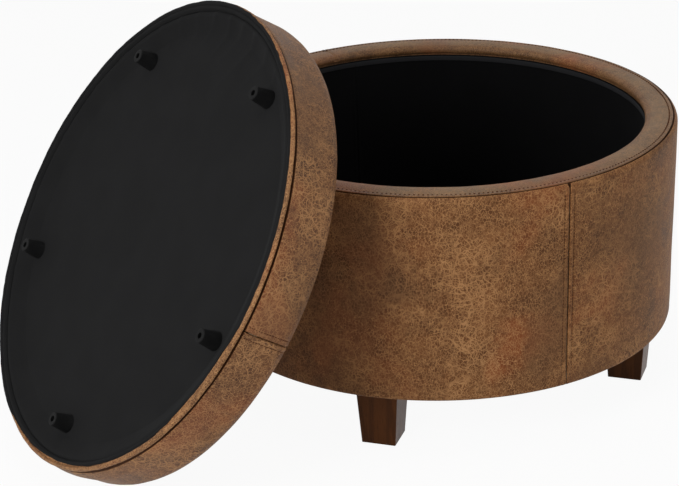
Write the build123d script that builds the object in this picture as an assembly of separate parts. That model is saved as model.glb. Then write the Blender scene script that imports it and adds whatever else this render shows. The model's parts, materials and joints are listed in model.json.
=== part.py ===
from build123d import *
from math import acos, asin, atan2, cos, degrees, radians, sin, sqrt, tan
import os

os.makedirs("parts", exist_ok=True)

# Round storage ottoman: an upholstered drum on four tapered legs, and a loose
# cushioned lid that stands on its edge and leans against the drum's rim.
# Millimetres, +Z up, floor at z = 0. The lid leans on the -X side of the drum.
# Drum profiles are drawn as (radius, height above the floor). Lid profiles are
# drawn as (radius, height above the crest of the lid's lower edge).

# ---------------------------------------------------------------- drum sizes
drum_radius = 305.0         # outside of the leather below the rim
drum_height = 340.0         # floor to the flat top of the rim
drum_draw_in = 3.0          # how much less the radius is at the bottom
leg_height = 76.4           # floor to the face that the legs are bolted to
rim_width = 41.0            # drum's outside to the mouth of the storage space
rim_overhang = 5.5          # mouth to the plywood ring behind it
rim_outer_round = 8.5       # roundings of the padded rim
rim_inner_round = 7.0
rim_seam_angle = 65.0       # where on the outer rounding the rim is sewn on
rim_flap = 16.0             # rim leather turned down inside the top ring
rim_padding_thickness = 8.0
bottom_hem = 32.0           # wall leather turned under the bottom panel
bottom_round = 3.0

# ------------------------------------------------------------ sheet materials
leather_thickness = 1.5
wall_padding_thickness = 6.0
hardboard_thickness = 3.0
liner_thickness = 2.0
cloth_thickness = 0.8
dust_cloth_thickness = 0.6
sewn_gap = 0.3              # between the edges of two pieces sewn together
butt_gap = 2.0              # where a rolled sheet meets itself
drop_in_gap = 0.5           # round a board that drops in
cloth_gap = 0.3             # between hung cloth and the board behind it
pad_gap = 0.3               # between a pad and the leather over it

# -------------------------------------------------------------- drum carcass
bottom_panel_thickness = 15.0
top_ring_thickness = 15.0
floor_board_thickness = 3.0
batten_count = 8
batten_width = 40.0
batten_gap = 1.3            # batten to the liner board
hem_height = 9.0            # folded top edge of the lining
wall_seam_angle = 90.0      # the wall's two leather panels meet at +Y and -Y
lining_seam_angle = 84.0

# ---------------------------------------------------------------------- legs
leg_angle = 43.5            # first leg from +X, the rest 90 degrees apart
leg_inset = 50.5            # drum's outside to a leg's axis
leg_top_width = 53.0
leg_foot_width = 43.0
leg_edge_radius = 1.5
bolt_radius = 4.0
bolt_in_leg = 32.0
bolt_point_length = 8.0
bolt_chamfer = 1.0
bore_spare = 1.0            # depth of a blind hole past the end of its screw
thread_gap = 0.05           # round a thread in its hole
nut_flange_radius = 11.0
nut_flange_thickness = 1.6
nut_barrel_radius = 5.2
nut_barrel_length = 13.0

# ----------------------------------------------------------------------- lid
lid_inset = 12.0            # drum's outside to the lid's, when it is shut
lid_side = 60.0             # crest of the lower edge to the band's upper seam
lid_draw_in = 1.5           # how much less the radius is at the upper seam
lid_shoulder_radius = 12.0  # rounding above that seam
lid_crown = 12.8            # rise of the top from its shoulder to its middle
lid_recess = 11.0           # crest of the lower edge to the board above it
lid_board_thickness = 12.0
lid_board_inset = 3.0       # leather and wadding round the board
edge_ring_inset = 4.0       # board's edge to the ring's
edge_ring_cover = 2.0       # cloth and leather under the ring
roll_width = 9.0            # leather roll round the lower edge
roll_height = 4.5
recess_border = 22.5        # lid's outside to the recess
lip_bend = 5.0              # rounding where the cloth turns into the recess
lip_thickness = 1.2
lid_seam_angle = 2.5        # the band's two lengths meet here and opposite

# ------------------------------------------------- guides that centre the lid
guide_count = 5
guide_angle = 46.8
guide_mouth_gap = 8.0       # guide's base to the mouth, when the lid is shut
guide_length = 23.0
guide_base_radius = 11.5
guide_tip_radius = 8.2
guide_edge_radius = 1.2
guide_bore_radius = 3.6
guide_floor_thickness = 7.0  # solid part that the screw clamps
screw_radius = 1.75
screw_point_length = 5.25
screw_head_radius = 3.3
screw_head_height = 2.4
screw_in_board = 9.0

# ---------------------------------------------------------- how the lid leans
lean_tilt_angle = 31.8      # lid's plane from upright
lean_aside = -36.7          # lid's centre from the drum's XZ plane
lean_gap = 0.3              # left between the leaning lid and the rim
float_gap = 10.0            # left under the lid where its stand-in turn ends

# ---------------------------------------------------------- worked-out levels
carcass_bottom = leg_height + dust_cloth_thickness + leather_thickness
panel_top = carcass_bottom + bottom_panel_thickness
ring_top = drum_height - leather_thickness - rim_padding_thickness
ring_bottom = ring_top - top_ring_thickness
flap_bottom = ring_top - rim_flap
floor_top = panel_top + floor_board_thickness
lid_top = lid_side + lid_shoulder_radius + lid_crown
board_top = lid_recess + lid_board_thickness
guide_level = lid_recess - cloth_thickness

# ----------------------------------------------------------- worked-out radii
rim_inner_radius = drum_radius - rim_width
carcass_radius = drum_radius - leather_thickness - wall_padding_thickness
hoop_inner_radius = carcass_radius - hardboard_thickness
ring_inner_radius = rim_inner_radius + rim_overhang
liner_radius = ring_inner_radius - liner_thickness
lining_radius = liner_radius - cloth_gap - cloth_thickness
leg_radius = drum_radius - leg_inset
lid_radius = drum_radius - lid_inset
crown_radius = lid_radius - lid_draw_in - lid_shoulder_radius
dome_radius = (crown_radius ** 2 + lid_crown ** 2) / (2 * lid_crown)
board_radius = lid_radius - lid_board_inset
edge_ring_outer = board_radius - edge_ring_inset
lip_inner_radius = lid_radius - recess_border
edge_ring_inner = lip_inner_radius + lip_thickness
roll_inner_radius = lid_radius - roll_width
guide_circle = rim_inner_radius - guide_mouth_gap - guide_base_radius


# ------------------------------------------------------------------- helpers
def polar(radius, angle, height=0.0):
    """Point at a radius and an angle about the vertical axis."""
    return Vector(radius * cos(radians(angle)), radius * sin(radians(angle)), height)


def around(count, first=0.0):
    """Angles of evenly spaced copies."""
    return [first + i * 360.0 / count for i in range(count)]


def turned(profile, start=0.0, sweep=360.0):
    """Revolve a (radius, height) profile about the vertical axis."""
    solid = revolve(Plane.XZ * profile, Axis.Z, revolution_arc=sweep)
    return Rot(0, 0, start) * solid


def tube(inner, outer, bottom, top):
    """Plain ring or disc between two radii and two heights."""
    height = top - bottom
    body = Cylinder(outer, height, align=(Align.CENTER, Align.CENTER, Align.MIN))
    if inner > 0:
        body -= Cylinder(inner, height, align=(Align.CENTER, Align.CENTER, Align.MIN))
    return Pos(0, 0, bottom) * body


def strip(line, thickness):
    """Profile of a sheet that lies on the left of an open line."""
    return make_face(offset(Wire(line.edges()), thickness, side=Side.LEFT).edges())


# ---------------------------------------------------------------------- drum
def wall_panels():
    """The wall's two leather panels, sewn together at +Y and -Y.

    Each runs from its hem under the bottom, round the bottom edge, up the
    slightly tapered side and over the rim's rounding to the rim seam."""
    underside = leg_height + dust_cloth_thickness
    edge = Vector(drum_radius - drum_draw_in - bottom_round, underside + bottom_round)
    corner = Vector(drum_radius - rim_outer_round, drum_height - rim_outer_round)
    hem = Line((drum_radius - bottom_hem, underside), (edge.X, underside))
    turn = CenterArc((edge.X, edge.Y), bottom_round, 270.0, 90.0)
    side = Line((edge.X + bottom_round, edge.Y), (drum_radius, corner.Y))
    over = CenterArc((corner.X, corner.Y), rim_outer_round, 0, rim_seam_angle)
    profile = strip(hem + turn + side + over, leather_thickness)
    gap = degrees(sewn_gap / drum_radius)
    starts = (wall_seam_angle, wall_seam_angle + 180.0)
    return [turned(profile, start + gap / 2, 180.0 - gap) for start in starts]


def rim_cover():
    """Leather over the rim, from the outer seam to a flap inside the ring.

    Its inner edge bulges into the mouth, curls back under the padding and
    meets the top ring's inner face."""
    corner = (drum_radius - rim_outer_round, drum_height - rim_outer_round)
    inner = (rim_inner_radius + rim_inner_round, drum_height - rim_inner_round)
    flap_face = ring_inner_radius - leather_thickness
    start = rim_seam_angle + degrees(sewn_gap / rim_outer_round)
    curl = degrees(acos((inner[0] - flap_face) / rim_inner_round))
    outer_arc = CenterArc(corner, rim_outer_round, start, 90.0 - start)
    flat = Line((corner[0], drum_height), (inner[0], drum_height))
    bulge = CenterArc(inner, rim_inner_round, 90.0, 90.0 + curl)
    turn = bulge @ 1
    flap = Line((turn.X, turn.Y), (flap_face, flap_bottom))
    return turned(strip(outer_arc + flat + bulge + flap, leather_thickness))


def under_rim(radius):
    """Height of the rim bulge's lower surface at a radius inside the mouth."""
    across = rim_inner_radius + rim_inner_round - radius
    return drum_height - rim_inner_round - sqrt(rim_inner_round ** 2 - across ** 2)


def rim_padding():
    """Foam ring under the rim leather, rounded as the rim is."""
    inset = leather_thickness + pad_gap
    corner = Vector(drum_radius - rim_outer_round, drum_height - rim_outer_round)
    inner = Vector(rim_inner_radius + rim_inner_round, drum_height - rim_inner_round)
    undercut = degrees(asin((inner.Y - ring_top) / (rim_inner_round - inset)))
    outer_arc = CenterArc((corner.X, corner.Y), rim_outer_round - inset, 0, 90.0)
    bulge = CenterArc((inner.X, inner.Y), rim_inner_round - inset, 90.0, 90.0 + undercut)
    flat = Line(tuple(outer_arc @ 1), tuple(bulge @ 0))
    foot = (drum_radius - inset, ring_top)
    base = Line(tuple(bulge @ 1), foot)
    side = Line(foot, tuple(outer_arc @ 0))
    return turned(make_face(outer_arc + flat + bulge + base + side))


def wall_padding():
    """Wadding between the hardboard hoop and the leather."""
    head = drum_radius - leather_thickness - pad_gap
    foot = head - drum_draw_in
    bottom = carcass_bottom + pad_gap
    outline = Polyline(
        (carcass_radius, bottom),
        (foot - bottom_round / 2, bottom),
        (foot, carcass_bottom + bottom_round),
        (head, ring_top - rim_outer_round / 2),
        (head, ring_top),
        (carcass_radius, ring_top),
        close=True,
    )
    return turned(make_face(outline))


def wall_hoop():
    """Hardboard rolled round the panel and the ring, its ends meeting on a batten."""
    hoop = tube(hoop_inner_radius, carcass_radius, carcass_bottom, ring_top)
    gap = Box(4 * hardboard_thickness, butt_gap, 2 * drum_height)
    return hoop - Pos(carcass_radius, 0, 0) * gap


def wall_battens():
    """Upright battens between the bottom panel and the top ring."""
    outside = sqrt((hoop_inner_radius - pad_gap) ** 2 - (batten_width / 2) ** 2)
    depth = outside - ring_inner_radius - batten_gap
    height = ring_bottom - panel_top
    post = Box(depth, batten_width, height, align=(Align.MAX, Align.CENTER, Align.MIN))
    return [Rot(0, 0, a) * Pos(outside, 0, panel_top) * post for a in around(batten_count)]


def bottom_panel():
    """Plywood disc with a stepped hole for each leg's nut."""
    disc = tube(0, hoop_inner_radius, carcass_bottom, panel_top)
    barrel = Cylinder(nut_barrel_radius, 3 * bottom_panel_thickness)
    step = Cylinder(nut_flange_radius, 2 * nut_flange_thickness)
    for angle in around(4, leg_angle):
        disc -= Pos(polar(leg_radius, angle, panel_top)) * (barrel + step)
    return disc


def dust_cover():
    """Black cloth tacked under the bottom, cut away at the leg bolts."""
    edge = drum_radius - drum_draw_in - bottom_hem / 3
    sheet = tube(0, edge, leg_height, leg_height + dust_cloth_thickness)
    hole = Cylinder(nut_barrel_radius, 4 * dust_cloth_thickness)
    for angle in around(4, leg_angle):
        sheet -= Pos(polar(leg_radius, angle, leg_height)) * hole
    return sheet


def storage_lining():
    """Liner board, cloth wall, its folded hem, and the covered floor."""
    hem_top = under_rim(lining_radius) - cloth_gap
    liner = tube(liner_radius, ring_inner_radius, panel_top, flap_bottom - drop_in_gap)
    cloth = tube(lining_radius, lining_radius + cloth_thickness, panel_top, hem_top - cloth_thickness)
    seam = Box(4 * cloth_thickness, sewn_gap, 2 * drum_height)
    cloth -= Rot(0, 0, lining_seam_angle) * Pos(lining_radius, 0, 0) * seam
    hem = tube(lining_radius - cloth_thickness, lining_radius, hem_top - hem_height, hem_top)
    floor_radius = lining_radius - drop_in_gap
    board = tube(0, floor_radius, panel_top, floor_top)
    floor_cloth = tube(0, floor_radius, floor_top, floor_top + cloth_thickness)
    return liner, cloth, hem, board, floor_cloth


# ---------------------------------------------------------------------- legs
def leg():
    """Square leg that narrows to its foot, bored for its bolt."""
    foot = RectangleRounded(leg_foot_width, leg_foot_width, leg_edge_radius)
    head = Pos(0, 0, leg_height) * RectangleRounded(leg_top_width, leg_top_width, leg_edge_radius)
    depth = bolt_in_leg + bore_spare
    bore = Cylinder(bolt_radius + thread_gap, depth, align=(Align.CENTER, Align.CENTER, Align.MAX))
    return loft([foot, head]) - Pos(0, 0, leg_height) * bore


def leg_bolt():
    """Hanger bolt from the leg up through its nut, pointed below."""
    top = panel_top - leg_height
    outline = Polyline(
        (0, -bolt_in_leg),
        (bolt_radius / 3, -bolt_in_leg),
        (bolt_radius, bolt_point_length - bolt_in_leg),
        (bolt_radius, top - bolt_chamfer),
        (bolt_radius - bolt_chamfer, top),
        (0, top),
        close=True,
    )
    return Pos(0, 0, leg_height) * turned(make_face(outline))


def leg_nut():
    """Flanged nut let into the bottom panel from above."""
    down = (Align.CENTER, Align.CENTER, Align.MAX)
    barrel = Cylinder(nut_barrel_radius - thread_gap, nut_barrel_length, align=down)
    flange = Cylinder(nut_flange_radius - thread_gap, nut_flange_thickness, align=down)
    hole = Cylinder(bolt_radius + thread_gap, 4 * bottom_panel_thickness)
    return Pos(0, 0, panel_top) * (barrel + flange - hole)


def at_legs(shape):
    """A copy of a shape on each leg's axis, its faces square to the radius."""
    return [Pos(polar(leg_radius, a)) * Rot(0, 0, a) * shape for a in around(4, leg_angle)]


# ----------------------------------------------------------------------- lid
def crown_line(inset):
    """The lid's top from the band's seam over the shoulder to the axis, set in by an inset."""
    rise = degrees(asin(crown_radius / dome_radius))
    shoulder = CenterArc((crown_radius, lid_side), lid_shoulder_radius - inset, 0, 90.0)
    dome = CenterArc((0, lid_top - dome_radius), dome_radius - inset, 90.0 - rise, rise)
    if inset == 0:
        return shoulder + dome
    return shoulder + Line(tuple(shoulder @ 1), tuple(dome @ 0)) + dome


def lid_top_cover():
    """Leather top with its shoulder, sewn to the band."""
    return turned(strip(crown_line(0), leather_thickness))


def lid_bands():
    """The band's two leather lengths, slightly bowed, sewn together at two seams."""
    low = (lid_radius - lid_draw_in / 3, roll_height)
    high = (lid_radius - lid_draw_in, lid_side - sewn_gap)
    bow = ThreePointArc(low, (lid_radius, 0.45 * lid_side), high)
    profile = strip(bow, leather_thickness)
    gap = degrees(sewn_gap / lid_radius)
    starts = (lid_seam_angle + 180.0, lid_seam_angle)
    return [turned(profile, start + gap / 2, 180.0 - gap) for start in starts]


def lid_foam():
    """Domed foam pad inside the leather, on the board."""
    inset = leather_thickness + pad_gap
    side = lid_radius - lid_draw_in - inset
    top = crown_line(inset)
    rest = Polyline((side, lid_side), (side, board_top), (0, board_top), (0, lid_top - inset))
    return turned(make_face(top + rest))


def lid_board():
    """Plywood board with a pilot hole over each guide."""
    board = tube(0, board_radius, lid_recess, board_top)
    depth = screw_in_board + bore_spare
    pilot = Cylinder(screw_radius + thread_gap, depth, align=(Align.CENTER, Align.CENTER, Align.MIN))
    for angle in around(guide_count, guide_angle):
        board -= Pos(polar(guide_circle, angle, lid_recess)) * pilot
    return board


def lid_edge_ring():
    """Plywood ring that stiffens the board's edge and forms the recess."""
    corner = (edge_ring_inner, edge_ring_cover)
    outline = Polyline(
        corner,
        (edge_ring_outer, edge_ring_cover),
        (edge_ring_outer, lid_recess),
        (edge_ring_inner, lid_recess),
        close=True,
    )
    face = make_face(outline)
    inner_corner = face.vertices().sort_by_distance(corner)[0]
    return turned(fillet(inner_corner, lip_bend - lip_thickness))


def lid_edge_roll():
    """Leather roll round the lower edge, sewn to the band."""
    seam = (lid_radius - lid_draw_in / 3, roll_height - sewn_gap)
    bulge = (lid_radius - 0.25 * roll_width, 0.25 * roll_height)
    crest = (lid_radius - 0.72 * roll_width, 0)
    back = Polyline(
        crest,
        (roll_inner_radius, 0.3 * edge_ring_cover),
        (roll_inner_radius, edge_ring_cover),
        (edge_ring_outer, edge_ring_cover),
        (edge_ring_outer, seam[1]),
        seam,
    )
    return turned(make_face(ThreePointArc(seam, bulge, crest) + back))


def lid_lip():
    """Black cloth over the ring's inner edge, down to the underside cloth."""
    level = edge_ring_cover - lip_thickness
    centre = (lip_inner_radius + lip_bend, level + lip_bend)
    wall = Line((lip_inner_radius, guide_level), (lip_inner_radius, centre[1]))
    turn = CenterArc(centre, lip_bend, 180.0, 90.0)
    flat = Line((centre[0], level), (roll_inner_radius - sewn_gap, level))
    return turned(strip(wall + turn + flat, lip_thickness))


def lid_underside():
    """Black cloth stapled over the board inside the recess, pierced by the screws."""
    cloth = tube(0, lip_inner_radius, guide_level, lid_recess)
    hole = Cylinder(screw_radius + thread_gap, 4 * cloth_thickness)
    for angle in around(guide_count, guide_angle):
        cloth -= Pos(polar(guide_circle, angle, lid_recess)) * hole
    return cloth


def lid_guide():
    """Tapered rubber guide with a deep screw hole, pointing down."""
    hole = screw_radius + thread_gap
    tip = (guide_tip_radius, -guide_length)
    outline = Polyline(
        (hole, 0),
        (guide_base_radius, 0),
        tip,
        (guide_bore_radius, -guide_length),
        (guide_bore_radius, -guide_floor_thickness),
        (hole, -guide_floor_thickness),
        close=True,
    )
    face = make_face(outline)
    tip_corner = face.vertices().sort_by_distance(tip)[0]
    return turned(fillet(tip_corner, guide_edge_radius))


def guide_screw():
    """Pan-head wood screw, up through the guide into the board."""
    point = cloth_thickness + screw_in_board
    seat = -guide_floor_thickness
    outline = Polyline(
        (0, point),
        (screw_radius, point - screw_point_length),
        (screw_radius, seat),
        (screw_head_radius, seat),
        (screw_head_radius, seat - screw_head_height / 2),
        (screw_head_radius / 2, seat - screw_head_height),
        (0, seat - screw_head_height),
        close=True,
    )
    return turned(make_face(outline))


def at_guides(shape):
    """A copy of a shape under the underside cloth at each guide."""
    places = [polar(guide_circle, a, guide_level) for a in around(guide_count, guide_angle)]
    return [Pos(place) * shape for place in places]


# ------------------------------------------------------ where the lid stands
def leaning_lid():
    """Plane of the leaning lid: origin on its lower edge's crest, z out of its top.

    The shoulder touches the floor, and the domed top just clears the rounding
    of the drum's rim."""
    tilt = radians(lean_tilt_angle)
    normal = Vector(cos(tilt), 0, -sin(tilt))
    height = lid_side * sin(tilt) + crown_radius * cos(tilt) + lid_shoulder_radius
    to_dome_centre = lid_top - dome_radius
    fall = drum_height - rim_outer_round - (height + normal.Z * to_dome_centre)
    reach = sqrt((dome_radius + rim_outer_round + lean_gap) ** 2 - fall ** 2)
    outward = reach + drum_radius - rim_outer_round
    dome_x = -sqrt(outward ** 2 - lean_aside ** 2)
    origin = Vector(dome_x - normal.X * to_dome_centre, lean_aside, height)
    return Plane(origin, x_dir=(0, 1, 0), z_dir=normal)


def turn_between(start, end):
    """The one turn, the long way round, that takes one plane of a disc to another."""
    travel = end.origin - start.origin
    axis = travel.cross(start.z_dir - end.z_dir).normalized()
    flat_start = start.z_dir - axis * start.z_dir.dot(axis)
    flat_end = end.z_dir - axis * end.z_dir.dot(axis)
    sine = axis.dot(flat_start.cross(flat_end))
    angle = degrees(atan2(sine, flat_start.dot(flat_end))) % 360.0
    lift = axis.cross(travel) * (0.5 / tan(radians(angle / 2)))
    pivot = (start.origin + end.origin) * 0.5 + lift
    return pivot, axis, angle


# ------------------------------------------------------------------ assembly
def build_drum():
    """All nodes that stay on the floor, about the drum's own axis."""
    left, right = wall_panels()
    liner, cloth, hem, board, floor_cloth = storage_lining()
    nodes = {
        "bottom_panel": bottom_panel(),
        "top_ring": tube(ring_inner_radius, hoop_inner_radius, ring_bottom, ring_top),
        "wall_battens": Compound(wall_battens()),
        "wall_hoop": wall_hoop(),
        "wall_padding": wall_padding(),
        "wall_panel_left": left,
        "wall_panel_right": right,
        "rim_padding": rim_padding(),
        "rim_cover": rim_cover(),
        "liner_board": liner,
        "lining_wall": cloth,
        "lining_hem": hem,
        "floor_board": board,
        "floor_cloth": floor_cloth,
        "dust_cover": dust_cover(),
        "leg_nuts": Compound(at_legs(leg_nut())),
        "leg_bolts": Compound(at_legs(leg_bolt())),
    }
    corners = ("back_right", "back_left", "front_left", "front_right")
    for corner, solid in zip(corners, at_legs(leg())):
        nodes["leg_" + corner] = solid
    return nodes


def build_lid():
    """All nodes of the lid, in the lid's own plane."""
    first, second = lid_bands()
    nodes = {
        "lid_board": lid_board(),
        "lid_edge_ring": lid_edge_ring(),
        "lid_foam": lid_foam(),
        "lid_top_cover": lid_top_cover(),
        "lid_band_first": first,
        "lid_band_second": second,
        "lid_edge_roll": lid_edge_roll(),
        "lid_lip": lid_lip(),
        "lid_underside": lid_underside(),
        "guide_screws": Compound(at_guides(guide_screw())),
    }
    for number, solid in enumerate(at_guides(lid_guide()), 1):
        nodes[f"lid_guide_{number}"] = solid
    return nodes


leaning = leaning_lid()
afloat = Plane((0, 0, drum_height + float_gap), z_dir=(0, 0, 1))
pivot, hinge_axis, hinge_angle = turn_between(leaning, afloat)

placed = build_drum()
for node, shape in build_lid().items():
    placed[node] = leaning.location * shape

# The origin is on the floor, under the middle of the whole as it stands.
whole = Compound(list(placed.values())).bounding_box()
centring = Pos(-whole.center().X, -whole.center().Y, 0)

for node, shape in placed.items():
    export_step(centring * shape, f"parts/{node}.step")

print("drum axis at", centring.position)
print("lid turns about", centring.position + pivot, "along", hinge_axis, "by", hinge_angle)
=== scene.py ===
"""Round storage ottoman in distressed leather, its loose lid leaning on the drum."""

import json
import math

import bpy
from mathutils import Matrix, Vector, noise


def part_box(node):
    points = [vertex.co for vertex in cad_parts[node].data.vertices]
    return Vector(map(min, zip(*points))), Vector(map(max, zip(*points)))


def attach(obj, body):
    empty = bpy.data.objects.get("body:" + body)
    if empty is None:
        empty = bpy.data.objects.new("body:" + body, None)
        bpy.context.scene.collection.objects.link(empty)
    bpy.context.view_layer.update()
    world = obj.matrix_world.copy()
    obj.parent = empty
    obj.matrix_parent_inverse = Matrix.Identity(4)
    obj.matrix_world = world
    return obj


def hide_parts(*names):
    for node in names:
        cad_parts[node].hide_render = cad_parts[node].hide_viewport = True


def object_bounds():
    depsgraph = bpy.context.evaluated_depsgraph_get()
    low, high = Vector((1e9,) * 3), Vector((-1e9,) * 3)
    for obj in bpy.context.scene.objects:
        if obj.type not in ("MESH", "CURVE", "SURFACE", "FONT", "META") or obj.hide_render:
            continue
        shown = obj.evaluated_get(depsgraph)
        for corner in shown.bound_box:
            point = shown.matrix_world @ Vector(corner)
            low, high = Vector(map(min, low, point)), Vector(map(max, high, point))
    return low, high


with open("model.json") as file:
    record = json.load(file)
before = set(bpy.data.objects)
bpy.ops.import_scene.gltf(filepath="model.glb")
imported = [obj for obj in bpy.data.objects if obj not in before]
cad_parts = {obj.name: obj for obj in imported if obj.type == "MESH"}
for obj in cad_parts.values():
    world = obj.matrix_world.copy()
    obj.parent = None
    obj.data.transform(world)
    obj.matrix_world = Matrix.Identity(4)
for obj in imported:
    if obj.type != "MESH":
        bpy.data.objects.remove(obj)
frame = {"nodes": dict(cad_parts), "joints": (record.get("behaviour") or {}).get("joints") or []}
scene = bpy.context.scene
UP = Vector((0, 0, 1))
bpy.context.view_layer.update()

# ---- where the drum and the lid stand


def turned(x_way, y_way, z_way):
    """The turn that takes the three axes to these three directions."""
    return Matrix((x_way, y_way, z_way)).transposed().to_4x4()


hinge = frame["joints"][0]
pivot, swing = Vector(hinge["pos_m"]), Vector(hinge["axis"])
full_turn = math.radians(hinge["range_deg"][1])
panel_low, panel_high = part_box("bottom_panel")
drum_centre = (panel_low + panel_high) / 2
DRUM = Matrix.Translation((drum_centre.x, drum_centre.y, 0))

CLOSED_GAP = 0.010  # at full turn the lid is level, this far above the rim
turn_back = Matrix.Translation(pivot) @ Matrix.Rotation(-full_turn, 4, swing) @ Matrix.Translation(-pivot)
lid_centre = turn_back @ Vector((drum_centre.x, drum_centre.y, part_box("rim_cover")[1].z + CLOSED_GAP))
lid_up = (turn_back.to_3x3() @ UP).normalized()
up_slope = lid_up.cross(Vector((0, 1, 0))).normalized()
across = up_slope.cross(lid_up)
LID = turned(across, up_slope, lid_up)
LID.translation = lid_centre


def rings(node, place):
    """Smallest and largest radius, lowest and highest level of a CAD node about its body's own axis."""
    inverse = place.inverted()
    points = [inverse @ vertex.co for vertex in frame["nodes"][node].data.vertices]
    radii = [math.hypot(point.x, point.y) for point in points]
    levels = [point.z for point in points]
    return min(radii), max(radii), min(levels), max(levels)


wall_in, wall_out, wall_low, _ = rings("wall_panel_right", DRUM)
rim_in, rim_out, flap_low, rim_top = rings("rim_cover", DRUM)
ring_in, _, _, ring_top = rings("top_ring", DRUM)
hoop_out = rings("wall_hoop", DRUM)[1]
lining_in, _, lining_low, lining_high = rings("lining_wall", DRUM)
hem_in, hem_out, _, hem_high = rings("lining_hem", DRUM)
_, cloth_out, cloth_low, _ = rings("floor_cloth", DRUM)
_, dust_out, _, dust_high = rings("dust_cover", DRUM)
band_in, band_out, band_low, band_high = rings("lid_band_first", LID)
top_high = rings("lid_top_cover", LID)[3]
foam_low = rings("lid_foam", LID)[2]
roll_low = rings("lid_edge_roll", LID)[2]
lip_out = rings("lid_lip", LID)[1]
under_high = rings("lid_underside", LID)[3]
board_out = rings("lid_board", LID)[1]

# ---- camera

EYE_PLACE = (-1.2326, -2.3059, 1.2925)
LENS_LENGTH, SENSOR_WIDTH = 118.3, 36.0
EYE_ROLL = -0.0288

forward = Vector((0.4314, 0.8144, -0.3881)).normalized()
level_right = forward.cross(UP).normalized()
level_up = level_right.cross(forward)
right = math.cos(EYE_ROLL) * level_right + math.sin(EYE_ROLL) * level_up
upward = math.cos(EYE_ROLL) * level_up - math.sin(EYE_ROLL) * level_right
eye = bpy.data.cameras.new("camera")
eye.lens, eye.sensor_width = LENS_LENGTH, SENSOR_WIDTH
camera = bpy.data.objects.new("camera", eye)
camera.matrix_world = Matrix.Translation(EYE_PLACE) @ turned(right, upward, -forward)
scene.collection.objects.link(camera)
scene.camera = camera
scene.view_settings.view_transform = "Standard"

# ---- node helpers

PLAIN_BROWN = (0.2, 0.1, 0.05, 1)  # for views without textures


def put(tree, kind, inputs=None, **settings):
    """One shader node with its settings; an input is a number, a colour or another node's output."""
    made = tree.nodes.new("ShaderNode" + kind)
    for key, value in settings.items():
        setattr(made, key, value)
    for key, value in (inputs or {}).items():
        if isinstance(value, bpy.types.NodeSocket):
            tree.links.new(value, made.inputs[key])
        else:
            made.inputs[key].default_value = value
    return made


def remap(tree, value, low, high, to_low=0.0, to_high=1.0):
    inputs = {"Value": value, "From Min": low, "From Max": high, "To Min": to_low, "To Max": to_high}
    return put(tree, "MapRange", inputs, interpolation_type="SMOOTHSTEP").outputs["Result"]


def sums(tree, operation, *values):
    return put(tree, "Math", dict(enumerate(values)), operation=operation).outputs[0]


def times(tree, first, second):
    return sums(tree, "MULTIPLY", first, second)


def vectors(tree, operation, *values):
    return put(tree, "VectorMath", dict(enumerate(values)), operation=operation).outputs[0]


def on_the_object(tree):
    """The coordinates that every surface here is made on."""
    return put(tree, "TexCoord").outputs["Object"]


def noises(tree, where, scale, detail, **more):
    return put(tree, "TexNoise", {"Vector": where, "Scale": scale, "Detail": detail, **more}).outputs["Fac"]


def blended(tree, amount, first, second, blend="MIX"):
    """first goes over into second by amount."""
    made = put(tree, "Mix", data_type="RGBA", blend_type=blend)
    for socket, value in ((made.inputs[0], amount), (made.inputs[6], first), (made.inputs[7], second)):
        if isinstance(value, bpy.types.NodeSocket):
            tree.links.new(value, socket)
        else:
            socket.default_value = value
    return made.outputs[2]


def effect(name, inputs):
    """An empty group of nodes that puts out a colour, a roughness and a height, and its two ends."""
    tree = bpy.data.node_groups.new(name, "ShaderNodeTree")
    for socket, value in inputs.items():
        kind = "NodeSocketFloat" if isinstance(value, float) else "NodeSocketColor"
        kind = "NodeSocketVector" if isinstance(value, Vector) else kind
        tree.interface.new_socket(socket, in_out="INPUT", socket_type=kind).default_value = value
    for socket, kind in (("Color", "Color"), ("Roughness", "Float"), ("Height", "Float")):
        tree.interface.new_socket(socket, in_out="OUTPUT", socket_type="NodeSocket" + kind)
    return tree, tree.nodes.new("NodeGroupInput").outputs, tree.nodes.new("NodeGroupOutput").inputs


def put_out(tree, out, *values):
    """Sends a group's colour, roughness and height out."""
    for name, value in zip(("Color", "Roughness", "Height"), values):
        tree.links.new(value, out[name])


def finish_with(name, group, values, bump, shine=0.5, metal=0.0):
    """A material: one Principled shader fed by a group's colour, roughness and height."""
    made = bpy.data.materials.new(name)
    made.use_nodes = True
    tree = made.node_tree
    principled = tree.nodes["Principled BSDF"]
    source = put(tree, "Group", node_tree=group)
    for key, value in values.items():
        source.inputs[key].default_value = value
    tree.links.new(source.outputs["Color"], principled.inputs["Base Color"])
    tree.links.new(source.outputs["Roughness"], principled.inputs["Roughness"])
    height = put(tree, "Bump", {"Height": source.outputs["Height"], "Strength": bump[0], "Distance": bump[1]})
    tree.links.new(height.outputs["Normal"], principled.inputs["Normal"])
    principled.inputs["Specular IOR Level"].default_value = shine
    principled.inputs["Metallic"].default_value = metal
    made.diffuse_color = values.get("Tint", PLAIN_BROWN)
    return made


# ---- distressed leather


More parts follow.
